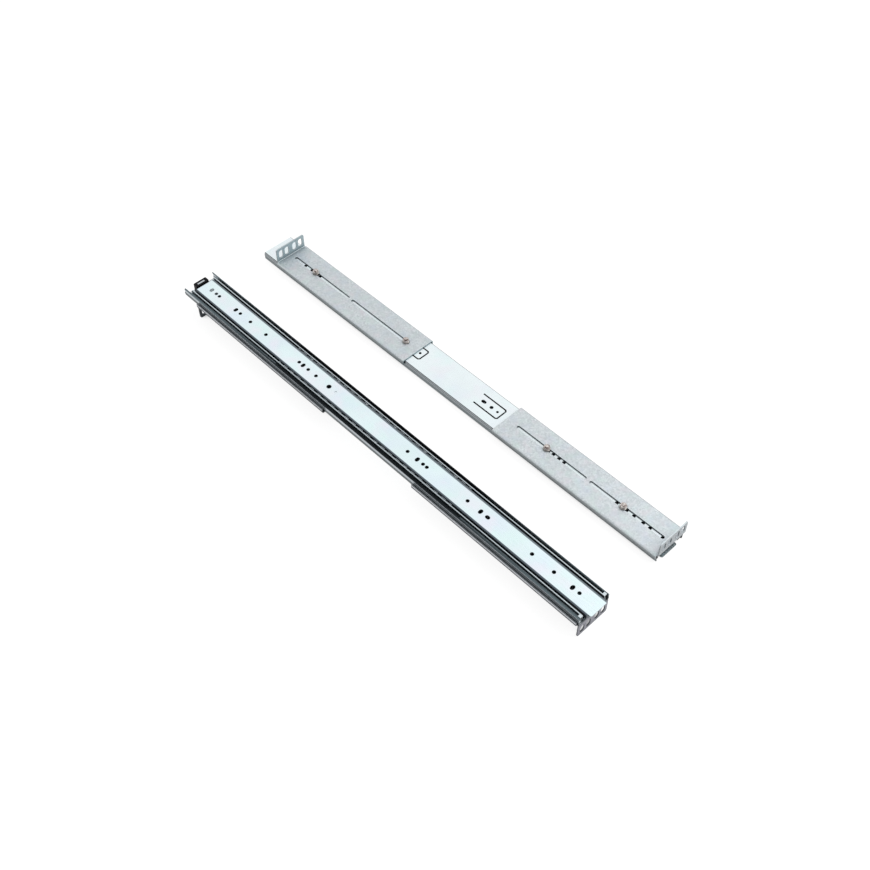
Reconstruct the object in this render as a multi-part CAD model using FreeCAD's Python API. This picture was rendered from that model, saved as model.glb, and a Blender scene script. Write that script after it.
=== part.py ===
import FreeCAD, Part
import math
import os

# A pair of three-section ball-bearing server rails with adjustable rack brackets.
# Every rail is drawn in its own frame, in millimetres: X runs along the rail towards the front,
# Y across it, Z away from the back of the outer member, and X = 0 is the outer member's front end.
# Rail A then lies with its server side up, and rail B with its server side down.

os.makedirs("parts", exist_ok=True)
Vec = FreeCAD.Vector

# ---- slide: overall sizes ----
slide_length = 660.4
slide_height = 45.7
slide_thickness = 12.7
sheet = 1.0
stage_travel = 330.0       # of each stage: the two together carry the server this much twice
member_rear = 8.8          # the moving members stop this far short of the outer member's rear end
member_front = 1.5         # and this far short of its front end
play = 0.4                 # general gap between pieces that slide past each other
round_sides = 12           # small punched holes, washers and screws are drawn with this many sides

# ---- ball races ----
outer_ball = 2.8
inner_ball = 3.2
race_play = 0.05
race_spread = math.radians(35)
slant = math.radians(75)   # lean of the wall between the intermediate member's two races
kink = 0.6                 # bend radius of the sheet's middle beside a race
straight = 0.05            # shortest straight stretch between two bends
outer_row_z = 4.3
inner_row_z = 8.86
inner_row_y = 15.15
ball_count = 6
ball_sides = 8

# ---- walls of the members ----
corner = 1.1
step_y = 12.0
step_run = 1.2
step_foot = 0.8
raised_web_z = 3.4
low_web_z = 1.8
inner_corner = 1.6
outer_lip_z = 9.9
lip_run = 1.2
lip_rise = 0.8
intermediate_top_z = 11.3
inner_flange_end_z = 5.6
tongue_reach = 1.2         # how far the inner web runs past the outer member's front end when shut
tongue_back = 3.0
tongue_corner = 1.2
rest_offset = {"a": 4.5, "b": 0.0}   # how far each inner member stands out of its shut place
bracket_lead = {"a": 0.0, "b": 2.0}  # how far each rail's brackets are set ahead of the slide's ends

# ---- retainers ----
outer_cage_length = 310.0
inner_cage_length = 292.0
outer_cage_sheet = 0.9
outer_cage_low_z = 1.9
outer_cage_head = (18.5, 20.85, 7.6, 8.6)
inner_cage_sheet = 0.7
inner_cage_web_z = 4.6
inner_cage_top_z = 10.9
notches_per_ball_count = 4
notch_length = 5.8
notch_depth = 1.3
cage_slots = 4
cage_slot = (52.0, 18.0)
pocket_play = 0.06

# ---- stops and bumpers ----
stop_length = 2.0
stop_back = 0.2
end_plate_length = 3.4           # plates that close the outer races at the intermediate's front end
end_plate_reach = 3.6
end_plate_z = 10.3
stop_height = 1.4
outer_stop_x = -6.5
outer_stop_reach = 1.15
moving_stop_reach = 1.1
pad_rear_x = -20.5
pad_front_x = -3.5
pad_low_z = 9.0
pad_high_z = 11.2
pad_play = 0.42
bumper_width = 18.8
bumper_length = 7.6
bumper_top_z = 11.0
bumper_window = (11.0, 3.0)
stop_tab = (10.2, 2.2)           # the outer member's end folded up double, inside the bumper
stop_tab_drop = 0.3
bumper_corner = 1.2

# ---- brackets ----
bracket_sheet = 1.5
bracket_width = 49.9
bracket_length = 243.0
bracket_lip = 6.5
bracket_bend = 0.8
bracket_gap = 0.05
flange_width = 45.2
flange_height = 20.0
rear_overhang = 24.9       # how far the slide runs on behind the rear flange
flange_corner = 2.5
slot_width = 4.4
slot_start = 10.5
slot_bridge = 5.0
slot_end = 16.5
rack_hole_width = 6.6
rack_hole_height = 12.0
rack_hole_rows = (6.35, 15.875)
rack_hole_z = 10.4

# ---- clamping screws ----
screw_diameter = 4.0
screw_head = 7.6
screw_head_height = 1.3
screw_clearance = 0.15
nut_width = 7.0
nut_height = 2.9
washer_diameter = 9.0
washer_height = 0.8
screw_tail = 1.2
thread_play = 0.03
driver_play = 1.0          # room round a screw head in the intermediate member's access hole
front_clamps = (65.5, 178.4)     # behind the outer member's front end
rear_clamps = (248.3, 78.1)      # ahead of its rear end
spare_hole = 4.6
front_spares = (10.6, 28.0, 37.5, 50.3, 60.7, 74.6, 152.2, 159.8, 168.4)
rear_spares = (85.8, 69.6, 57.5)

# ---- holes in the server side, from the slide's front and rear ends when shut ----
web_hole = 4.6
front_chassis_holes = (60.1, 90.8)
rear_chassis_holes = (130.6, 100.6)
front_holes = (25.3, 185.2, 248.6, 254.6, 279.4)
rear_holes = (223.9, 209.9, 193.4, 80.7, 38.6, 32.3)
front_cross_holes = (34.6, 165.6, 263.7)
rear_cross_holes = (200.6, 71.7, 23.2)
cross_hole_length = 6.6
long_hole_x = 155.2
long_hole_length = 6.2
access_hole_x = 247.3            # this hole and the dimple are measured from the rear end
access_hole = 6.2
dimple_x = 259.3
dimple = 3.2
dimple_depth = 0.4

# ---- lanced tabs in the outer member's back ----
lance_gap = 1.9
lance_corner = 2.2               # bevel of a tab's tip, on the far side of the cut
rear_tab_root = 261.4            # ahead of the rear end
rear_tab_length = 19.7
rear_tab_width = 17.4
rear_tab_hole = 3.6
front_tab_tip = 248.6            # behind the front end
front_tab_length = 38.2
front_tab_width = 17.6
front_tab_hole = 3.4
tab_hole_back = 7.4              # from a tab's tip to its hole
front_tab_rivet_back = 17.1
front_tab_rivet = 4.8
front_tab_slot_back = 29.5
front_tab_slot = (7.2, 4.4)

# ---- how the pair lies ----
rail_spacing = 126.4

# ---- values that follow ----
outer_row_y = slide_height / 2 - sheet - outer_ball / 2 - race_play
outer_bend = outer_ball / 2 + race_play + sheet / 2
inner_bend = inner_ball / 2 + race_play + sheet / 2
member_back_x = member_rear - slide_length
back_gap = slide_thickness - sheet / 2
front_reach = tongue_reach + max(rest_offset.values())
total_length = slide_length + max(bracket_lead.values()) + front_reach
front_x = total_length / 2 - front_reach
cage_rear_gap = stage_travel / 2 + stop_back + stop_length + play
slot_length = (bracket_length - slot_start - slot_bridge - slot_end) / 2
flange_span = slide_length - rear_overhang
rail_a_z = flange_height + bracket_sheet
rail_b_z = slide_thickness


def race(row_y, row_z, bend, side, upward, after=0.0):
    """Vertices of a sheet's middle line that wraps a ball row on one side, with their bend radii.

    side is +1 where the wall passes outside the balls and -1 inside; after is the lean, from
    upright, of the wall that follows the race in the direction of travel.
    """
    reach = bend / math.cos(race_spread)
    before_leg = bend * math.tan(race_spread) + kink * math.tan(race_spread / 2) + straight
    after_leg = bend * math.tan(race_spread) + kink * math.tan((race_spread + after) / 2) + straight
    points = []
    for leg, way in ((before_leg, -upward), (0.0, 0.0), (after_leg, upward)):
        y = row_y + side * (reach - leg * math.sin(race_spread))
        z = row_z + way * leg * math.cos(race_spread)
        points.append((y, z, bend if leg == 0.0 else kink))
    return points


def mirrored(half):
    """The full path of a symmetric channel, from the path of its right half."""
    left = [(-y, z, bend) for y, z, bend in reversed(half)]
    return left + list(half)


def strip(path, thickness, x_from, x_to):
    """A rolled sheet of even thickness along X whose middle line is path: (y, z, bend radius)."""
    sides = {1: [], -1: []}
    for side in sides:
        start = None
        for i, (y, z, bend) in enumerate(path):
            here = Vec(0, y, z)
            ins = here - Vec(0, path[i - 1][0], path[i - 1][1]) if i else None
            outs = Vec(0, path[i + 1][0], path[i + 1][1]) - here if i + 1 < len(path) else None
            first = (ins or outs).normalize()
            last = (outs or ins).normalize()
            normal_in = Vec(0, -first.z, first.y)
            normal_out = Vec(0, -last.z, last.y)
            offset = side * thickness / 2
            if ins is None or outs is None or bend == 0:
                point = here + normal_in * offset
                if start is not None:
                    sides[side].append(Part.makeLine(start, point))
                start = point
                continue
            cross = first.y * last.z - first.z * last.y
            turn = math.atan2(cross, first.dot(last))
            way = 1 if turn > 0 else -1
            tangent = bend * math.tan(abs(turn) / 2)
            centre = here - first * tangent + normal_in * (way * bend)
            radius = bend - way * offset
            middle = (normal_in + normal_out).normalize()
            arc_start = centre - normal_in * (way * radius)
            arc_middle = centre - middle * (way * radius)
            arc_end = centre - normal_out * (way * radius)
            sides[side].append(Part.makeLine(start, arc_start))
            sides[side].append(Part.Arc(arc_start, arc_middle, arc_end).toShape())
            start = arc_end
    ends = [sides[1][0].Vertexes[0].Point, sides[-1][0].Vertexes[0].Point]
    tips = [sides[1][-1].Vertexes[-1].Point, sides[-1][-1].Vertexes[-1].Point]
    edges = sides[1] + sides[-1] + [Part.makeLine(tips[0], tips[1]), Part.makeLine(ends[1], ends[0])]
    face = Part.Face(Part.Wire(Part.__sortEdges__(edges)))
    solid = face.extrude(Vec(x_to - x_from, 0, 0))
    solid.translate(Vec(x_from, 0, 0))
    return solid


def box(x0, x1, y0, y1, z0, z1):
    return Part.makeBox(x1 - x0, y1 - y0, z1 - z0, Vec(x0, y0, z0))


def prism(x, y, z, diameter, height, sides=round_sides):
    """An upright disc or pin drawn with flat sides, or a true cylinder when sides is 0."""
    if sides == 0:
        return Part.makeCylinder(diameter / 2, height, Vec(x, y, z))
    turns = [2 * math.pi * (i + 0.5) / sides for i in range(sides)]
    points = [Vec(x + diameter / 2 * math.cos(t), y + diameter / 2 * math.sin(t), z) for t in turns]
    return Part.Face(Part.makePolygon(points + points[:1])).extrude(Vec(0, 0, height))


def round_hole(x, y, diameter, z0, z1, sides=round_sides):
    return prism(x, y, z0, diameter, z1 - z0, sides)


def slot(x0, x1, y0, y1, z0, z1):
    """A cutter for a slot with round ends, along whichever of X and Y is longer."""
    width = min(x1 - x0, y1 - y0)
    run = max(x1 - x0, y1 - y0) - width
    lengthwise = x1 - x0 > y1 - y0
    points = []
    for i in range(round_sides + 2):
        late = i > round_sides // 2
        angle = math.pi / 2 + 2 * math.pi * (i - late) / round_sides
        along = width / 2 * math.cos(angle) + (run / 2 if late else -run / 2)
        across = width / 2 * math.sin(angle)
        points.append(Vec(along, across, z0) if lengthwise else Vec(-across, along, z0))
    cutter = Part.Face(Part.makePolygon(points + points[:1])).extrude(Vec(0, 0, z1 - z0))
    cutter.translate(Vec((x0 + x1) / 2, (y0 + y1) / 2, 0))
    return cutter


def along_slide(from_front, from_rear):
    """Places along the slide, given as distances behind its front end and ahead of its rear end."""
    return [-x for x in from_front] + [x - slide_length for x in from_rear]


def both_sides(make):
    """The pieces that make(side) returns for the right (+1) and the left (-1) of the rail."""
    return [make(side) for side in (1, -1)]


def block_across(side, x0, x1, y_in, y_out, z0, z1):
    low, high = sorted((side * y_in, side * y_out))
    return box(x0, x1, low, high, z0, z1)


def spread(count, x_from, x_to):
    """Places of count pieces, evenly spaced with half a pitch at either end."""
    pitch = (x_to - x_from) / count
    return [x_from + pitch * (i + 0.5) for i in range(count)]


# ---- the rolled members ----

def stops(x, y_in, y_out, row_z):
    """The lugs, one in each race, that stop a stage at its full reach."""
    z0, z1 = row_z - stop_height / 2, row_z + stop_height / 2
    return both_sides(lambda side: block_across(side, x, x + stop_length, y_in, y_out, z0, z1))


def bevel_tipped(tip, length, half_width, bevel, z0, z1):
    """A flat tongue that ends at tip, with its two front corners cut off."""
    tongue = box(tip - length, tip, -half_width, half_width, z0, z1)
    corners = [e for e in tongue.Edges if e.BoundBox.XMin > tip - bevel and e.BoundBox.ZLength > sheet]
    return tongue.makeChamfer(bevel, corners)


def lanced_cuts(tip, length, width, hole):
    """The U-shaped cut, of even width, that frees a tab on three sides, and the tab's hole."""
    z0, z1 = -sheet, 2 * sheet
    outer_half = (width + lance_gap) / 2
    inner_half = (width - lance_gap) / 2
    inner_corner_cut = lance_corner - lance_gap * (2 - math.sqrt(2))
    outside = bevel_tipped(tip, length, outer_half, lance_corner, z0, z1)
    left_standing = bevel_tipped(tip - lance_gap, length, inner_half, inner_corner_cut, z0, z1)
    return [outside.cut(left_standing), round_hole(tip - tab_hole_back, 0, hole, z0, z1)]


def outer_member():
    curve = race(outer_row_y, outer_row_z, outer_bend, 1, 1)
    wall_y = curve[0][0]
    half = [(wall_y, sheet / 2, corner)] + curve
    half += [(wall_y, outer_lip_z, kink), (wall_y - lip_run, outer_lip_z + lip_rise, 0)]
    body = strip(mirrored(half), sheet, -slide_length, 0)
    lug_in = outer_row_y + outer_ball / 2 - outer_stop_reach
    lugs = stops(outer_stop_x - stop_length, lug_in, wall_y + sheet / 4, outer_row_z)
    rear_tab_tip = rear_tab_root + rear_tab_length - slide_length
    cuts = lanced_cuts(rear_tab_tip, rear_tab_length, rear_tab_width, rear_tab_hole)
    cuts += lanced_cuts(-front_tab_tip, front_tab_length, front_tab_width, front_tab_hole)
    z0, z1 = -sheet, 2 * sheet
    for x in along_slide(front_clamps, rear_clamps):
        cuts.append(round_hole(x, 0, screw_diameter + 2 * screw_clearance, z0, z1))
    for x in along_slide(front_spares, rear_spares):
        cuts.append(round_hole(x, 0, spare_hole, z0, z1))
    cuts.append(round_hole(-front_tab_tip - front_tab_rivet_back, 0, front_tab_rivet, z0, z1))
    long, wide = front_tab_slot
    x0 = -front_tab_tip - front_tab_slot_back - long / 2
    cuts.append(slot(x0, x0 + long, -wide / 2, wide / 2, z0, z1))
    across, thick = stop_tab
    tab_x = bumper_middle_x() - thick / 2
    tab = box(tab_x, tab_x + thick, -across / 2, across / 2, sheet / 2, bumper_top_z - stop_tab_drop)
    return body.fuse(lugs + [tab]).cut(Part.makeCompound(cuts)).removeSplitter()


def intermediate_path():
    outer_race = race(outer_row_y, outer_row_z, outer_bend, -1, 1, slant)
    reach = race(inner_row_y, inner_row_z, inner_bend, 1, -1, slant)
    inner_race = reach[::-1]
    half = [(step_y, raised_web_z, kink), (step_y + step_run, low_web_z, kink)]
    half += [(outer_race[0][0], low_web_z, step_foot)] + outer_race + inner_race
    half.append((inner_race[-1][0], intermediate_top_z, 0))
    return half


def intermediate_member():
    half = intermediate_path()
    body = strip(mirrored(half), sheet, member_back_x, -member_front)
    lug_out = outer_row_y - outer_ball / 2 + moving_stop_reach
    lugs = stops(member_back_x + stop_back, outer_row_y - outer_bend, lug_out, outer_row_z)
    lip_y = half[-1][0]
    x0 = -member_front - end_plate_length
    plates = both_sides(lambda side: block_across(
        side, x0, -member_front, lip_y, lip_y + end_plate_reach, end_plate_z, intermediate_top_z))
    clamps = along_slide(front_clamps, rear_clamps)
    cuts = [round_hole(x, 0, screw_head + driver_play, 0, slide_thickness) for x in clamps]
    return body.fuse(lugs + plates).cut(Part.makeCompound(cuts)).removeSplitter()


def inner_member():
    curve = race(inner_row_y, inner_row_z, inner_bend, -1, -1)
    wall_y = curve[0][0]
    half = [(wall_y, inner_flange_end_z, 0)] + curve[::-1] + [(wall_y, back_gap, inner_corner)]
    path = [(y, z, bend) for y, z, bend in half] + [(-y, z, bend) for y, z, bend in reversed(half)]
    body = strip(path, sheet, member_back_x, -tongue_back)
    lug_out = inner_row_y - inner_ball / 2 + moving_stop_reach
    lugs = stops(member_back_x + stop_back, inner_row_y - inner_bend, lug_out, inner_row_z)
    half_tongue = wall_y + sheet / 2 - inner_corner
    web_z = slide_thickness - sheet
    tongue = box(-tongue_back - sheet, tongue_reach, -half_tongue, half_tongue, web_z, slide_thickness)
    rounded = [e for e in tongue.Edges if e.BoundBox.XMin > 0 and e.BoundBox.ZLength > sheet / 2]
    tongue = tongue.makeChamfer(tongue_corner, rounded)
    z0, z1 = slide_thickness - 3 * sheet, slide_thickness + sheet
    cuts = [round_hole(x, 0, web_hole, z0, z1) for x in along_slide(front_holes, rear_holes)]
    for x in along_slide(front_chassis_holes, rear_chassis_holes):
        cuts.append(round_hole(x, 0, web_hole, z0, z1, sides=0))
    half_hole = web_hole / 2
    half_cross = cross_hole_length / 2
    for x in along_slide(front_cross_holes, rear_cross_holes):
        cuts.append(slot(x - half_hole, x + half_hole, -half_cross, half_cross, z0, z1))
    half_long = long_hole_length / 2
    cuts.append(slot(-long_hole_x - half_long, -long_hole_x + half_long, -half_hole, half_hole, z0, z1))
    cuts.append(round_hole(access_hole_x - slide_length, 0, access_hole, z0, z1))
    cuts.append(round_hole(dimple_x - slide_length, 0, dimple, slide_thickness - dimple_depth, z1))
    return body.fuse(lugs + [tongue]).cut(Part.makeCompound(cuts)).removeSplitter()


# ---- balls and retainers ----

def ball(x, y, z, diameter):
    """A ball in plane facets, eight round the rail's direction and four along it."""
    r = diameter / 2
    rings = []
    for lean in (-90, -45, 0, 45, 90):
        across = r * math.cos(math.radians(lean))
        along = x + r * math.sin(math.radians(lean))
        turns = [2 * math.pi * i / ball_sides for i in range(ball_sides)]
        rings.append([Vec(along, y + across * math.cos(t), z + across * math.sin(t)) for t in turns])
    faces = []
    for rear, front in zip(rings, rings[1:]):
        for i in range(ball_sides):
            j = (i + 1) % ball_sides
            corners = [rear[i], rear[j], front[j], front[i]]
            if rear is rings[0]:
                corners = [rear[i], front[j], front[i]]
            if front is rings[-1]:
                corners = [rear[i], rear[j], front[i]]
            faces.append(Part.Face(Part.makePolygon(corners + corners[:1])))
    return Part.Solid(Part.Shell(faces))


def cage_rear():
    return member_back_x + cage_rear_gap


def outer_ball_x():
    return spread(ball_count, cage_rear(), cage_rear() + outer_cage_length)


def inner_ball_x():
    return spread(ball_count, cage_rear(), cage_rear() + inner_cage_length)


def outer_cage(side):
    """The moulded strip that spaces one outer ball row: a stem between the walls and a wide head."""
    rear = cage_rear()
    front = rear + outer_cage_length
    y_in, y_out, z_low, z_high = outer_cage_head
    stem_in = outer_row_y - outer_cage_sheet / 2
    stem = block_across(side, rear, front, stem_in, stem_in + outer_cage_sheet, outer_cage_low_z, z_high)
    head = block_across(side, rear, front, y_in, y_out, z_low, z_high)
    reach = outer_ball / 2 + pocket_play
    z0, z1 = outer_row_z - reach, outer_row_z + reach
    pockets = [block_across(side, x - reach, x + reach, y_in, y_out, z0, z1) for x in outer_ball_x()]
    return stem.fuse(head).removeSplitter().cut(Part.makeCompound(pockets))


def inner_cage():
    """The folded steel retainer that joins the two inner ball rows under the inner member."""
    rear = cage_rear()
    front = rear + inner_cage_length
    half = [(inner_row_y, inner_cage_web_z, inner_cage_sheet), (inner_row_y, inner_cage_top_z, 0)]
    body = strip(mirrored(half), inner_cage_sheet, rear, front)
    reach = inner_ball / 2 + pocket_play
    across = inner_row_y + inner_ball
    cuts = []
    for x in inner_ball_x():
        cuts.append(box(x - reach, x + reach, -across, across, inner_row_z - reach, inner_row_z + reach))
    notch_z = inner_cage_top_z - notch_depth
    half_notch = notch_length / 2
    for x in spread(ball_count * notches_per_ball_count, rear, front):
        cuts.append(box(x - half_notch, x + half_notch, -across, across, notch_z, slide_thickness))
    long, wide = cage_slot
    for x in spread(cage_slots, rear, front):
        cuts.append(slot(x - long / 2, x + long / 2, -wide / 2, wide / 2, 0, inner_cage_web_z + sheet))
    return body.cut(Part.makeCompound(cuts))


# ---- bumpers ----

def bumper_middle_x():
    return member_back_x - play - bumper_length / 2


def rear_bumper():
    """The moulded stop on the outer member's rear end, pushed over its stop tab."""
    x1 = member_back_x - play
    x0 = x1 - bumper_length
    block = box(x0, x1, -bumper_width / 2, bumper_width / 2, sheet, bumper_top_z)
    upright = [e for e in block.Edges if e.BoundBox.ZLength > sheet]
    block = block.makeFillet(bumper_corner, upright)
    long, wide = bumper_window
    middle = bumper_middle_x()
    return block.cut(box(middle - wide / 2, middle + wide / 2, -long / 2, long / 2, 0, slide_thickness))


def front_pad(side):
    """The pad in one inner race at the intermediate member's front end, which stops the retainer."""
    wall = intermediate_path()[-1][0] - sheet / 2
    member_face = race(inner_row_y, inner_row_z, inner_bend, -1, -1)[0][0] + sheet / 2
    return block_across(side, pad_rear_x, pad_front_x, member_face + pad_play, wall, pad_low_z, pad_high_z)


# ---- brackets ----

def bracket():
    """A front bracket with its flange's face at X = 0, sliding on the outer member's back."""
    z_top = -bracket_gap
    z_mid = z_top - bracket_sheet / 2
    wall_y = bracket_width / 2 - bracket_sheet / 2
    lip_z = z_top - bracket_sheet + bracket_lip
    bend = bracket_bend + bracket_sheet / 2
    walls = mirrored([(wall_y, z_mid, bend), (wall_y, lip_z, 0)])
    channel = strip(walls, bracket_sheet, -bracket_length, -bracket_sheet - bracket_bend)
    foot_z = -bracket_sheet - flange_height
    face_x = -bracket_sheet / 2
    fold_path = [(-bracket_length / 8, z_mid, 0), (face_x, z_mid, bend), (face_x, foot_z, 0)]
    fold = strip(fold_path, bracket_sheet, -flange_width / 2, flange_width / 2)
    fold.rotate(Vec(0, 0, 0), Vec(0, 0, 1), -90)
    body = channel.fuse(fold).removeSplitter()
    cuts = []
    deep = 3 * bracket_sheet
    for first in (slot_start, slot_start + slot_length + slot_bridge):
        last = first + slot_length
        cuts.append(slot(-last, -first, -slot_width / 2, slot_width / 2, -deep, bracket_sheet))
    half_tall, half_wide = rack_hole_height / 2, rack_hole_width / 2
    for row in rack_hole_rows:
        for side in (1, -1):
            hole = slot(-half_tall, half_tall, -half_wide, half_wide, -deep, deep)
            hole.rotate(Vec(0, 0, 0), Vec(0, 1, 0), 90)
            hole.translate(Vec(0, side * row, -bracket_sheet - rack_hole_z))
            cuts.append(hole)
    body = body.cut(Part.makeCompound(cuts))
    foot_edges = [e for e in body.Edges if e.BoundBox.ZMax < foot_z + bracket_sheet / 2]
    corners = [e for e in foot_edges if e.BoundBox.XLength > e.BoundBox.YLength]
    return body.makeFillet(flange_corner, corners)


def front_bracket():
    return bracket()


def rear_bracket():
    turned = bracket()
    turned.rotate(Vec(0, 0, 0), Vec(0, 0, 1), 180)
    turned.translate(Vec(-flange_span, 0, 0))
    return turned


# ---- clamping screws, washers and nuts ----

def bracket_face_z():
    return -bracket_gap - bracket_sheet


def clamp_screw(x):
    """A low-headed screw put in from inside the outer member."""
    tail_z = bracket_face_z() - washer_height - nut_height - screw_tail
    shank = prism(x, 0, tail_z, screw_diameter, sheet - tail_z)
    head = prism(x, 0, sheet, screw_head, screw_head_height)
    return head.fuse(shank).removeSplitter()


def clamp_washer(x):
    z = bracket_face_z() - washer_height
    ring = prism(x, 0, z, washer_diameter, washer_height)
    return ring.cut(prism(x, 0, z, screw_diameter + 2 * screw_clearance, washer_height))


def clamp_nut(x):
    z = bracket_face_z() - washer_height - nut_height
    hexagon = prism(x, 0, z, nut_width / math.cos(math.pi / 6), nut_height, sides=6)
    return hexagon.cut(prism(x, 0, z, screw_diameter + 2 * thread_play, nut_height))


def every_clamp(make):
    return Part.makeCompound([make(x) for x in along_slide(front_clamps, rear_clamps)])


# ---- one rail, then the pair ----

def rail(offset, lead):
    """Node shapes of one rail, its inner member out by offset and its brackets ahead by lead."""
    def moved(shape, distance):
        shape.translate(Vec(distance, 0, 0))
        return shape

    outer_balls = []
    inner_balls = []
    for side in (1, -1):
        outer_balls += [ball(x, side * outer_row_y, outer_row_z, outer_ball) for x in outer_ball_x()]
        inner_balls += [ball(x, side * inner_row_y, inner_row_z, inner_ball) for x in inner_ball_x()]
    return {
        "outer_member": outer_member(),
        "intermediate_member": intermediate_member(),
        "inner_member": moved(inner_member(), offset),
        "outer_retainer_right": outer_cage(1),
        "outer_retainer_left": outer_cage(-1),
        "outer_balls": Part.makeCompound(outer_balls),
        "inner_retainer": moved(inner_cage(), offset / 2),
        "inner_balls": moved(Part.makeCompound(inner_balls), offset / 2),
        "rear_bumper": rear_bumper(),
        "front_pads": Part.makeCompound(both_sides(front_pad)),
        "front_bracket": moved(front_bracket(), lead),
        "rear_bracket": moved(rear_bracket(), lead),
        "clamp_screws": every_clamp(clamp_screw),
        "clamp_washers": every_clamp(clamp_washer),
        "clamp_nuts": every_clamp(clamp_nut),
    }


def lay_down(shape, rail_name):
    """Puts a rail's shape in the pair's frame: A with its server side up, B turned over beside it."""
    x = front_x - bracket_lead[rail_name]
    if rail_name == "a":
        shape.translate(Vec(x, -rail_spacing / 2, rail_a_z))
    else:
        shape.rotate(Vec(0, 0, 0), Vec(1, 0, 0), 180)
        shape.translate(Vec(x, rail_spacing / 2, rail_b_z))
    return shape


for rail_name in rest_offset:
    for node, shape in rail(rest_offset[rail_name], bracket_lead[rail_name]).items():
        lay_down(shape, rail_name).exportStep("parts/" + node + "_" + rail_name + ".step")
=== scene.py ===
import math

import bpy
from mathutils import Matrix, Vector

# The looks of a pair of ball-bearing server rails: a finish for every piece, studio and camera.
# Rail a lies with its opening up, and rail b shows the back of its outer member.
# Lengths are in metres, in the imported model's own frame, with X along the rails and Z up. Noise
# scales are per metre, tones are linear colours, and a tilt is the upward part of a normal.

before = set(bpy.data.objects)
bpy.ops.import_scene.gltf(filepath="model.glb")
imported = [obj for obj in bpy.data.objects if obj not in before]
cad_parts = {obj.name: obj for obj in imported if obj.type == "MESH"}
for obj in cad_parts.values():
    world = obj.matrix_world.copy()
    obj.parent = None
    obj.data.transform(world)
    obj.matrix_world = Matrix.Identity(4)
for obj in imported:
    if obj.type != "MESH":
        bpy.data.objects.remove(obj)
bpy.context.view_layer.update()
scene = bpy.context.scene

# ---- camera ----
camera_target = Vector((0.0372, -0.0057, 0.0))
camera_distance = 1.361
camera_azimuth = 46.41       # degrees round from a view along +Y
camera_elevation = 50.61
camera_roll = -0.33
lens_mm = 48.65
sensor_mm = 36.0

# ---- light ----
white = (1.0, 1.0, 1.0, 1.0)
background = 1.0             # strength of the world where it is looked at
sky_strength = 0.6           # strength with which it lights the rails
key_power = 16.0
key_size = 1.4
key_place = Vector((0.9, 1.1, 1.6))
key_aim = Vector((0.0, 0.0, 0.0))

# ---- floor ----
floor_size = 12.0
floor_drop = 0.0002
floor_colour = (0.3, 0.3, 0.3, 1.0)
floor_roughness = 0.9
floor_glow = 0.86            # added where the floor is seen, so that open floor comes out white
floor_least_glow = 0.1 * floor_glow
floor_shade_reach = 0.05     # the glow fades, as painted shadow, in places roofed over nearer than this
floor_openness = (0.12, 0.3)  # where the glow is least, and where all of it is there
floor_shade_samples = 16

# ---- places on the rails ----
rails = ("a", "b")
strip_middle_y = 0.0639      # middle of each rail's bright strip, from the middle of the pair
web_edge = 0.01145           # half the width of the web's bright strip
inside_of_lips = 0.0155      # all of the members' lips lie farther than this from that middle
outer_lip_height = 0.031     # the outer member's side walls are its lips above this
outer_wall_foot = (0.0265, 0.0278)  # heights between which these walls darken downwards, as painted shade
race_lip_height = 0.0315     # the intermediate member's side walls are its lips above this
lip_fade = (0.14, 0.29)      # along the rail, where the lips' painted tone of the middle gives way to the lighter painted tone of its ends
edge_softness = 0.0004       # width of the change of tone at a sharp limit


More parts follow.
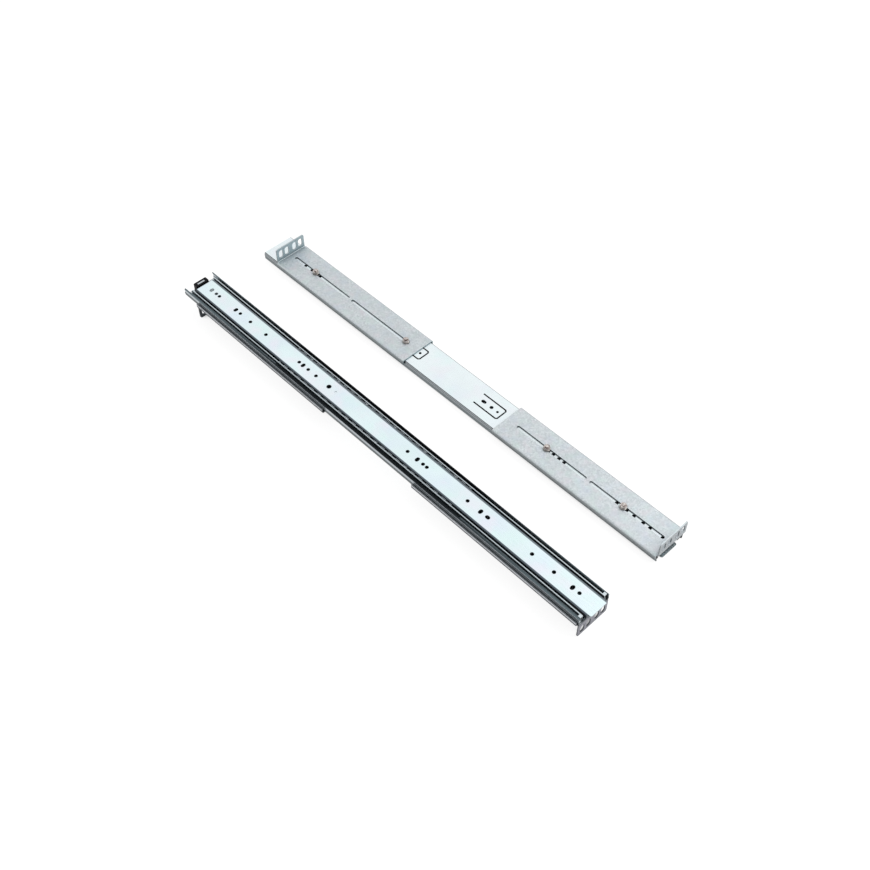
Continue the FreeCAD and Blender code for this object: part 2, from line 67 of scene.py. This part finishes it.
class Shader:
    """A small builder for one procedural material's node tree."""

    def __init__(self, name):
        self.material = bpy.data.materials.new(name)
        self.material.use_nodes = True
        self.tree = self.material.node_tree
        self.tree.nodes.clear()
        output = self.node("ShaderNodeOutputMaterial")
        self.surface = self.node("ShaderNodeBsdfPrincipled")
        self.link(self.surface.outputs["BSDF"], output.inputs["Surface"])
        self.place = self.node("ShaderNodeTexCoord").outputs["Object"]

    def node(self, kind, **values):
        made = self.tree.nodes.new(kind)
        for key, value in values.items():
            setattr(made, key, value)
        return made

    def link(self, start, end):
        self.tree.links.new(start, end)

    def set(self, **values):
        """Plain values on the surface's own sockets."""
        for key, value in values.items():
            self.surface.inputs[key.replace("_", " ")].default_value = value

    def drive(self, **sources):
        """Node outputs into the surface's own sockets."""
        for key, source in sources.items():
            self.link(source, self.surface.inputs[key.replace("_", " ")])

    def stretched(self, scale):
        """The place, stretched by a different factor along each axis."""
        mapping = self.node("ShaderNodeMapping")
        self.link(self.place, mapping.inputs["Vector"])
        mapping.inputs["Scale"].default_value = scale
        return mapping.outputs["Vector"]

    def noise(self, scale, detail=2.0, roughness=0.5, stretch=(1, 1, 1)):
        made = self.node("ShaderNodeTexNoise")
        made.inputs["Scale"].default_value = scale
        made.inputs["Detail"].default_value = detail
        made.inputs["Roughness"].default_value = roughness
        self.link(self.stretched(stretch), made.inputs["Vector"])
        return made.outputs["Fac"]

    def crystals(self, scale):
        """Random grey per crystal of a zinc spangle."""
        made = self.node("ShaderNodeTexVoronoi")
        made.inputs["Scale"].default_value = scale
        self.link(self.place, made.inputs["Vector"])
        grey = self.node("ShaderNodeRGBToBW")
        self.link(made.outputs["Color"], grey.inputs["Color"])
        return grey.outputs["Val"]

    def remap(self, value, span, result):
        """The ends of span taken to those of result, and held beyond them."""
        made = self.node("ShaderNodeMapRange")
        sockets = ("From Min", "From Max", "To Min", "To Max")
        for socket, limit in zip(sockets, (*span, *result)):
            made.inputs[socket].default_value = limit
        self.link(value, made.inputs["Value"])
        return made.outputs["Result"]

    def rising(self, value, span, most=1.0):
        """0 below the span and most above it."""
        return self.remap(value, span, (0.0, most))

    def falling(self, value, span, most=1.0):
        """Most below the span and 0 above it."""
        return self.remap(value, span, (most, 0.0))

    def beyond(self, value, limit, most=1.0):
        """0 up to a limit and most from just past it."""
        return self.rising(value, (limit, limit + edge_softness), most)

    def mix(self, amount, first, second):
        made = self.node("ShaderNodeMix", data_type="RGBA")
        for socket, value in (("Factor", amount), ("A", first), ("B", second)):
            target = [i for i in made.inputs if i.name == socket and i.enabled][0]
            if isinstance(value, bpy.types.NodeSocket):
                self.link(value, target)
            else:
                target.default_value = (*value, 1.0)
        return [o for o in made.outputs if o.enabled][0]

    def tinted(self, tone, tints, span, strength):
        """A tone with soft coloured patches: tints are (noise scale, colour)."""
        for scale, tint in tints:
            tone = self.mix(self.rising(self.noise(scale), span, strength), tone, tint)
        return tone

    def near_edges(self, reach, samples=6):
        """1 in open places, falling to 0 in corners and slots nearer than reach."""
        made = self.node("ShaderNodeAmbientOcclusion", samples=samples)
        made.inputs["Distance"].default_value = reach
        return made.outputs["AO"]

    def part_of(self, vector, axis):
        parts = self.node("ShaderNodeSeparateXYZ")
        self.link(vector, parts.inputs["Vector"])
        return parts.outputs[axis]

    def facing(self, axis):
        """How far a face looks along an axis of the part's own frame, from -1 to 1."""
        return self.part_of(self.node("ShaderNodeTexCoord").outputs["Normal"], axis)

    def along(self, axis):
        """A place's own coordinate along an axis."""
        return self.part_of(self.place, axis)

    def size_of(self, value):
        made = self.node("ShaderNodeMath", operation="ABSOLUTE")
        self.link(value, made.inputs[0])
        return made.outputs[0]

    def lesser(self, first, second):
        made = self.node("ShaderNodeMath", operation="MINIMUM")
        self.link(first, made.inputs[0])
        self.link(second, made.inputs[1])
        return made.outputs[0]

    def off_middle(self):
        """How far sideways a place lies from the middle of its own rail's bright strip."""
        gap = self.node("ShaderNodeMath", operation="SUBTRACT")
        self.link(self.size_of(self.along("Y")), gap.inputs[0])
        gap.inputs[1].default_value = strip_middle_y
        return self.size_of(gap.outputs[0])

    def by_tilt(self, stops):
        """A colour by how far a face looks up: stops are (tilt, colour)."""
        made = self.node("ShaderNodeValToRGB")
        points = made.color_ramp.elements
        while len(points) < len(stops):
            points.new(1.0)
        for point, (tilt, colour) in zip(points, stops):
            point.position = (tilt + 1.0) / 2.0
            point.color = (*colour, 1.0)
        self.link(self.rising(self.facing("Z"), (-1.0, 1.0)), made.inputs["Fac"])
        return made.outputs["Color"]

    def bump(self, height, strength, distance):
        made = self.node("ShaderNodeBump")
        made.inputs["Strength"].default_value = strength
        made.inputs["Distance"].default_value = distance
        self.link(height, made.inputs["Height"])
        self.drive(Normal=made.outputs["Normal"])


def share_of(tone, share):
    return tuple(share * part for part in tone)


# ---- rolled strip: the members, the ball strips and the washers ----

line_noise = {"scale": 900.0, "detail": 4.0, "roughness": 0.6, "stretch": (0.02, 1.0, 1.0)}
line_span = (0.3, 0.7)
line_strength = 0.12                # of the rolling lines, which run along the rail
line_share = 0.6                    # tone of the lines, as a share of the sheet's own
cloud_noise = {"scale": 22.0, "detail": 3.0, "roughness": 0.55}
cloud_span = (0.35, 0.65)
cloud_share = 0.95
film_tints = ((26.0, (0.76, 0.84, 0.98)), (31.0, (0.74, 0.95, 0.92)), (43.0, (0.92, 0.87, 0.96)))
film_span = (0.5, 0.68)
# Tilts at which the painted reflection changes tone, from upright walls up to level faces.
wall_tilts = (-1.0, 0.22)
flank_tilts = (0.36, 0.68)
leaning_tilts = (0.78, 0.94)
level_tilts = (0.95, 0.985)
upright_tilts = (0.3, 0.6)
end_turn = (0.5, 0.8)               # how far the cut ends look along the rail
# Painted shade in corners and slots, by how open a place is.
strip_openness = (0.2, 0.85)
strip_corner_strength = 0.95
web_edge_strength = 0.85
strip_roughness = (0.22, 0.36)
strip_metallic = 0.85
strip_bump = (0.12, 0.00005)


def rolled_zinc(name, flat, leaning, flank, wall, end, corner, corner_reach,
                film=0.0, foot=None, lip=None, edge=None):
    """Bright zinc plate on rolled strip, with painted reflections: each face gets a tone by how
    far it looks up, standing in for what a mirror-like bent sheet reflects.

    flat is the tone of level faces, leaning of the lips that lean inwards, flank of the upper
    sides of the races, wall of upright faces, and end of the cut ends; all but flat are painted
    reflection and shade, and end is partly the sheared edge's own darker tone. corner is the
    painted shade of places with something nearer than corner_reach. film is the strength of the
    coloured patches on level faces. foot is the two heights between which upright faces darken
    downwards as painted shade, and the tone they reach. lip is the height above which the side
    walls change tone, their tone there in the middle of the rail, and their tone towards its
    ends; these lip tones are painted light and shade, darker in the middle of the rail. edge is
    how far from the middle of the strip the web's bends begin, which are painted as dark as the
    corners.
    """
    look = Shader(name)
    lines = look.noise(**line_noise)
    clouds = look.noise(**cloud_noise)
    tone = look.mix(look.rising(clouds, cloud_span), flat, share_of(flat, cloud_share))
    tone = look.tinted(tone, film_tints, film_span, film)
    # Painted reflection: each face gets a tone by its tilt, and only level faces keep the sheet's
    # own tone.
    bands = ((wall_tilts, wall), (flank_tilts, flank), (leaning_tilts, leaning))
    painted_reflection = look.by_tilt([(tilt, band) for tilts, band in bands for tilt in tilts])
    level = look.rising(look.size_of(look.facing("Z")), level_tilts)
    tone = look.mix(level, painted_reflection, tone)
    rolled = look.rising(lines, line_span, line_strength)
    tone = look.mix(rolled, tone, share_of(flat, line_share))
    # Cut ends: partly the sheared edge's own darker tone, partly painted shade.
    cut = look.rising(look.size_of(look.facing("X")), end_turn)
    tone = look.mix(cut, tone, end)
    # Painted shade: upright faces darken towards the foot of the wall.
    if foot:
        heights, foot_tone = foot
        low = look.falling(look.along("Z"), heights)
        upright = look.falling(look.size_of(look.facing("Z")), upright_tilts)
        tone = look.mix(look.lesser(low, upright), tone, foot_tone)
    # Painted light and shade on the side walls' lips: darker in the middle of the rail, lighter
    # towards its ends.
    if lip:
        height, middle_tone, end_tone = lip
        towards_end = look.rising(look.size_of(look.along("X")), lip_fade)
        lip_tone = look.mix(towards_end, middle_tone, end_tone)
        high = look.beyond(look.along("Z"), height)
        outside = look.beyond(look.off_middle(), inside_of_lips)
        tone = look.mix(look.lesser(high, outside), tone, lip_tone)
    # Painted shade: corners and slots darken towards the corner tone.
    openness = look.near_edges(corner_reach)
    tone = look.mix(look.falling(openness, strip_openness, strip_corner_strength), tone, corner)
    # Painted shade on the web's bends, as dark as the corners.
    if edge:
        bent = look.beyond(look.off_middle(), edge, web_edge_strength)
        tone = look.mix(bent, tone, corner)
    look.drive(Base_Color=tone, Roughness=look.remap(lines, line_span, strip_roughness))
    look.set(Metallic=strip_metallic)
    look.bump(lines, *strip_bump)
    return look.material


# ---- hot-dipped sheet: the brackets ----

spangle_scale = 560.0
spangle_span = (0.1, 0.9)
spangle_tones = ((0.52, 0.565, 0.585), (0.73, 0.775, 0.795))
fine_scale = 1500.0
fine_span = (0.2, 0.8)
fine_tone = (0.47, 0.51, 0.53)
fine_strength = 0.4
patch_tints = ((75.0, (0.72, 0.63, 0.69)), (84.0, (0.56, 0.72, 0.66)), (67.0, (0.56, 0.63, 0.75)))
patch_span = (0.5, 0.72)
patch_strength = 0.32
haze_noise = {"scale": 35.0, "detail": 4.0, "roughness": 0.6}
haze_span = (0.4, 0.7)
haze_tone = (0.50, 0.55, 0.58)
haze_strength = 0.3
bend_turn = (0.1, 0.45)             # how far the upper bend on the +Y side looks that way, where it gets painted shade
bend_tone = (0.38, 0.37, 0.39)
bend_strength = 0.55
flange_reach = 0.03                 # how far a flange shades the sheet at its foot
flange_openness = (0.45, 0.95)
flange_shade_tone = (0.30, 0.35, 0.40)
flange_shade_strength = 0.55
cut_edge_share = 0.6
cut_edge_strength = 0.4
# Painted shade towards the foot of the sides.
side_foot_tone = (0.05, 0.06, 0.065)
side_foot_strength = 0.85
upright_share = 0.7                 # grain of the upright faces, as a share of the flange's tone
upright_strength = 0.3
# Painted shade on faces that look down.
underside_tilts = (-0.5, -0.1)
underside_tone = (0.03, 0.045, 0.05)
underside_strength = 0.9
sheet_level_tilts = (0.3, 0.65)
# Painted shade in corners and slots.
sheet_corner_reach = 0.012
sheet_openness = (0.15, 0.8)
sheet_corner_tone = (0.025, 0.04, 0.05)
sheet_corner_strength = 0.9
sheet_roughness = (0.42, 0.62)
sheet_metallic = 0.75
sheet_bump = (0.15, 0.00004)


def dull_zinc(name, side, side_foot, flange, cut_edge=None):
    """Hot-dipped sheet, with a small frosty spangle and faint mauve, green and blue patches on
    its level faces, and plainer tones on its sides and its upright flange, which are painted
    light and shade, as are its corners and the faces that look down. The sides darken
    downwards between the two heights of side_foot, as painted shade. cut_edge replaces the
    spangle where only the sheet's own cut edge looks up.
    """
    look = Shader(name)
    spangle = look.crystals(spangle_scale)
    fine = look.crystals(fine_scale)
    haze = look.noise(**haze_noise)
    tone = look.mix(look.rising(spangle, spangle_span), *spangle_tones)
    tone = look.mix(look.rising(fine, fine_span, fine_strength), tone, fine_tone)
    tone = look.tinted(tone, patch_tints, patch_span, patch_strength)
    tone = look.mix(look.rising(haze, haze_span, haze_strength), tone, haze_tone)
    # Painted shade on the bend that faces +Y.
    bend = look.rising(look.facing("Y"), bend_turn, bend_strength)
    tone = look.mix(bend, tone, bend_tone)
    openness = look.near_edges(flange_reach)
    shaded = look.falling(openness, flange_openness, flange_shade_strength)
    tone = look.mix(shaded, tone, flange_shade_tone)
    if cut_edge:
        grain = look.rising(spangle, spangle_span, cut_edge_strength)
        tone = look.mix(grain, cut_edge, share_of(cut_edge, cut_edge_share))
    # Painted shade: the sides darken towards their foot.
    low = look.falling(look.along("Z"), side_foot, side_foot_strength)
    upright = look.mix(low, side, side_foot_tone)
    # Painted light and shade: flanges take their own tone by facing along the rail.
    upright = look.mix(look.size_of(look.facing("X")), upright, flange)
    grain = look.rising(fine, fine_span, upright_strength)
    upright = look.mix(grain, upright, share_of(flange, upright_share))
    # Painted shade on faces that look down.
    underside = look.falling(look.facing("Z"), underside_tilts, underside_strength)
    upright = look.mix(underside, upright, underside_tone)
    tone = look.mix(look.rising(look.facing("Z"), sheet_level_tilts), upright, tone)
    # Painted shade: corners and slots darken towards the corner tone.
    openness = look.near_edges(sheet_corner_reach)
    corner = look.falling(openness, sheet_openness, sheet_corner_strength)
    tone = look.mix(corner, tone, sheet_corner_tone)
    look.drive(Base_Color=tone, Roughness=look.remap(spangle, spangle_span, sheet_roughness))
    look.set(Metallic=sheet_metallic)
    look.bump(fine, *sheet_bump)
    return look.material


# ---- small parts ----

chromate_scale = 420.0
chromate_span = (0.35, 0.65)
chromate_tones = ((0.30, 0.25, 0.24), (0.78, 0.72, 0.69))
chromate_tints = ((500.0, (0.55, 0.66, 0.55)),)
chromate_tint_span = (0.5, 0.8)
chromate_tint_strength = 0.3
# Painted shade in the corners of the fasteners.
chromate_corner_reach = 0.003
chromate_openness = (0.3, 0.9)
chromate_corner_tone = (0.05, 0.03, 0.03)
chromate_corner_strength = 0.95
chromate_metallic = 0.9
chromate_roughness = 0.3
chromate_bump = (0.1, 0.00003)

grain_scale = 2600.0
dust_noise = {"scale": 90.0, "detail": 4.0, "roughness": 0.6}
dust_span = (0.45, 0.8)
dust_strength = 0.5
plastic_tones = ((0.003, 0.003, 0.004), (0.012, 0.013, 0.015))
plastic_specular = 0.1
plastic_roughness_span = (0.3, 0.7)
plastic_bump = (0.25, 0.00004)

grease_noise = {"scale": 500.0, "detail": 3.0}
grease_span = (0.35, 0.7)
grease_strength = 0.5
ball_tones = ((0.72, 0.74, 0.76), (0.42, 0.42, 0.38))
ball_roughness_span = (0.3, 0.7)
ball_roughness = (0.08, 0.25)


def yellow_chromate(name):
    """Yellow chromate with the faint pink and green of its film, and painted shade in its corners.
    """
    look = Shader(name)
    film = look.noise(chromate_scale)
    tone = look.mix(look.rising(film, chromate_span), *chromate_tones)
    tone = look.tinted(tone, chromate_tints, chromate_tint_span, chromate_tint_strength)
    # Painted shade: corners darken towards the corner tone.
    openness = look.near_edges(chromate_corner_reach)
    corner = look.falling(openness, chromate_openness, chromate_corner_strength)
    look.drive(Base_Color=look.mix(corner, tone, chromate_corner_tone))
    look.set(Metallic=chromate_metallic, Roughness=chromate_roughness)
    look.bump(film, *chromate_bump)
    return look.material


def moulded_black(name, roughness):
    """Black moulded plastic with a fine grain and a thin bloom of dust."""
    look = Shader(name)
    grain = look.noise(grain_scale)
    dust = look.noise(**dust_noise)
    tone = look.mix(look.rising(dust, dust_span, dust_strength), *plastic_tones)
    look.drive(Base_Color=tone, Roughness=look.remap(dust, plastic_roughness_span, roughness))
    look.set(Specular_IOR_Level=plastic_specular)
    look.bump(grain, *plastic_bump)
    return look.material


def polished_ball(name):
    """Bearing steel under a thin film of grease."""
    look = Shader(name)
    film = look.noise(**grease_noise)
    tone = look.mix(look.rising(film, grease_span, grease_strength), *ball_tones)
    look.drive(Base_Color=tone, Roughness=look.remap(film, ball_roughness_span, ball_roughness))
    look.set(Metallic=1.0)
    return look.material


# ---- which piece has which finish ----

bright = (0.88, 0.96, 0.98)
pale_blue = (0.82, 0.955, 0.98)
dark = (0.15, 0.18, 0.21)
cut_end = (0.3, 0.33, 0.34)
# Tones of painted shade in corners and grooves.
gloom = (0.02, 0.035, 0.045)
teal_gloom = (0.028, 0.05, 0.062)


def member_finishes():
    """The rolled members. The inner and outer ones show other sides on each rail, and each
    rail's copy has its own painted reflection and shade tones.
    """
    # The intermediate member lies deep in the grooves: its darker tones are partly painted shade.
    race = rolled_zinc(
        "zinc_race", flat=(0.37, 0.41, 0.43), leaning=(0.04, 0.06, 0.07), flank=(0.04, 0.06, 0.07),
        wall=(0.035, 0.055, 0.065), end=(0.2, 0.22, 0.23), corner=teal_gloom, corner_reach=0.006,
        film=0.2, lip=(race_lip_height, (0.52, 0.58, 0.61), (0.62, 0.69, 0.72)))
    return {
        "inner_member_a": rolled_zinc(
            "zinc_server_side", flat=pale_blue, leaning=dark, flank=dark,
            wall=(0.34, 0.38, 0.42), end=cut_end, corner=(0.09, 0.11, 0.13), corner_reach=0.003,
            film=0.45, edge=web_edge),
        "inner_member_b": rolled_zinc(
            "zinc_tongue", flat=pale_blue, leaning=dark, flank=dark,
            wall=dark, end=cut_end, corner=(0.01, 0.015, 0.018), corner_reach=0.009,
            film=0.3),
        "outer_member_a": rolled_zinc(
            "zinc_lips", flat=(0.55, 0.59, 0.61), leaning=(0.02, 0.026, 0.03),
            flank=(0.25, 0.28, 0.30), wall=(0.48, 0.52, 0.55), end=(0.35, 0.38, 0.38),
            corner=teal_gloom, corner_reach=0.0025, film=0.1,
            foot=(outer_wall_foot, (0.1, 0.115, 0.12)),
            lip=(outer_lip_height, (0.008, 0.012, 0.015), (0.12, 0.16, 0.175))),
        "outer_member_b": rolled_zinc(
            "zinc_back", flat=bright, leaning=(0.03, 0.04, 0.045), flank=(0.40, 0.42, 0.44),
            wall=(0.13, 0.155, 0.165), end=(0.012, 0.015, 0.018), corner=gloom,
            corner_reach=0.004, film=0.3),
        "intermediate_member_a": race,
        "intermediate_member_b": race,
    }


def bracket_finishes():
    """The brackets: rail a shows their sides, and rail b their backs. The tones of their sides
    and flanges are painted light and shade, set for each rail and flange by how light falls there."""
    # Painted light and shade: rail a's bracket sides are lit, rail b's are in shade, and each
    # flange has its own tone.
    on_a = {"side": (0.66, 0.68, 0.71), "side_foot": (0.0238, 0.0246),
            "cut_edge": (0.2, 0.215, 0.23)}
    on_b = {"side": (0.33, 0.36, 0.37), "side_foot": (0.0078, 0.0128)}
    sheets = {
        "front_bracket_a": {"flange": (0.30, 0.30, 0.34), **on_a},
        "rear_bracket_a": {"flange": (0.04, 0.045, 0.05), **on_a},
        "front_bracket_b": {"flange": (0.46, 0.49, 0.51), **on_b},
        "rear_bracket_b": {"flange": (0.40, 0.49, 0.52), **on_b},
    }
    return {node: dull_zinc("sheet_" + node, **tones) for node, tones in sheets.items()}


def small_part_finishes():
    """The retainers, balls, plastic parts and fasteners, which are alike on both rails."""
    black = moulded_black("black_moulding", roughness=(0.34, 0.52))
    cage = moulded_black("black_retainer", roughness=(0.28, 0.46))
    steel = polished_ball("bearing_steel")
    chromate = yellow_chromate("yellow_chromate")
    strip_steel = rolled_zinc(
        "greased_strip", flat=(0.30, 0.34, 0.37), leaning=dark, flank=dark,
        wall=(0.07, 0.09, 0.1), end=dark, corner=gloom, corner_reach=0.004)
    washer = rolled_zinc(
        "washer_plate", flat=(0.74, 0.74, 0.70), leaning=(0.3, 0.3, 0.28), flank=(0.3, 0.3, 0.28),
        wall=(0.2, 0.2, 0.19), end=(0.2, 0.2, 0.19), corner=gloom, corner_reach=0.004)
    kinds = {
        "outer_retainer_right": cage, "outer_retainer_left": cage, "outer_balls": steel,
        "inner_retainer": strip_steel, "inner_balls": steel,
        "rear_bumper": black, "front_pads": black,
        "clamp_screws": chromate, "clamp_washers": washer, "clamp_nuts": chromate,
    }
    return {kind + "_" + rail: finish for rail in rails for kind, finish in kinds.items()}


def finish_nodes():
    """Each piece's finish goes into the slots that the piece already has."""
    chosen = {**member_finishes(), **bracket_finishes(), **small_part_finishes()}
    for node, material in chosen.items():
        for material_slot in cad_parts[node].material_slots:
            material_slot.material = material


# ---- studio ----

def seen_rays(tree):
    """1 for the rays by which a surface is looked at: camera, glossy and transmission."""
    path = tree.nodes.new("ShaderNodeLightPath")
    seen = path.outputs["Is Camera Ray"]
    for other in ("Is Glossy Ray", "Is Transmission Ray"):
        either = tree.nodes.new("ShaderNodeMath")
        either.operation = "MAXIMUM"
        tree.links.new(seen, either.inputs[0])
        tree.links.new(path.outputs[other], either.inputs[1])
        seen = either.outputs[0]
    return seen


def make_world():
    """A plain soft sky for the light, that is white where it is looked at."""
    world = bpy.data.worlds.new("studio")
    scene.world = world
    world.use_nodes = True
    tree = world.node_tree
    tree.nodes.clear()
    mix = tree.nodes.new("ShaderNodeMixShader")
    tree.links.new(seen_rays(tree), mix.inputs["Fac"])
    for strength, socket in ((sky_strength, mix.inputs[1]), (background, mix.inputs[2])):
        sky = tree.nodes.new("ShaderNodeBackground")
        sky.inputs["Color"].default_value = white
        sky.inputs["Strength"].default_value = strength
        tree.links.new(sky.outputs["Background"], socket)
    output = tree.nodes.new("ShaderNodeOutputWorld")
    tree.links.new(mix.outputs["Shader"], output.inputs["Surface"])


def make_floor():
    """A pale floor that is white where it is open, and keeps the rails' shadow, deepened by
    painted shadow where its glow fades near the rails.
    """
    half = floor_size / 2
    outline = ((-half, -half), (half, -half), (half, half), (-half, half))
    mesh = bpy.data.meshes.new("floor")
    mesh.from_pydata([(x, y, -floor_drop) for x, y in outline], [], [(0, 1, 2, 3)])
    floor = bpy.data.objects.new("floor", mesh)
    scene.collection.objects.link(floor)
    look = Shader("pale_floor")
    # Painted shadow: the floor's glow fades where the rails roof it over.
    openness = look.near_edges(floor_shade_reach, floor_shade_samples)
    shaded = look.remap(openness, floor_openness, (floor_least_glow, floor_glow))
    glow = look.node("ShaderNodeMath", operation="MULTIPLY")
    look.link(seen_rays(look.tree), glow.inputs[0])
    look.link(shaded, glow.inputs[1])
    look.drive(Emission_Strength=glow.outputs[0])
    look.set(Base_Color=floor_colour, Roughness=floor_roughness, Specular_IOR_Level=0.0,
             Emission_Color=white)
    mesh.materials.append(look.material)


def make_key_light():
    data = bpy.data.lights.new("key", "AREA")
    data.shape = "SQUARE"
    data.size = key_size
    data.energy = key_power
    lamp = bpy.data.objects.new("key", data)
    lamp.location = key_place
    lamp.rotation_euler = (key_aim - key_place).to_track_quat("-Z", "Y").to_euler()
    scene.collection.objects.link(lamp)


def make_camera():
    azimuth = math.radians(camera_azimuth)
    elevation = math.radians(camera_elevation)
    level = math.cos(elevation)
    away = Vector((level * math.sin(azimuth), -level * math.cos(azimuth), math.sin(elevation)))
    data = bpy.data.cameras.new("camera")
    data.lens = lens_mm
    data.sensor_width = sensor_mm
    camera = bpy.data.objects.new("camera", data)
    place = camera_target + camera_distance * away
    aim = (-away).to_track_quat("-Z", "Y").to_matrix().to_4x4()
    roll = Matrix.Rotation(math.radians(camera_roll), 4, "Z")
    camera.matrix_world = Matrix.Translation(place) @ aim @ roll
    scene.collection.objects.link(camera)
    scene.camera = camera


finish_nodes()
make_world()
make_floor()
make_key_light()
make_camera()
scene.view_settings.view_transform = "Standard"
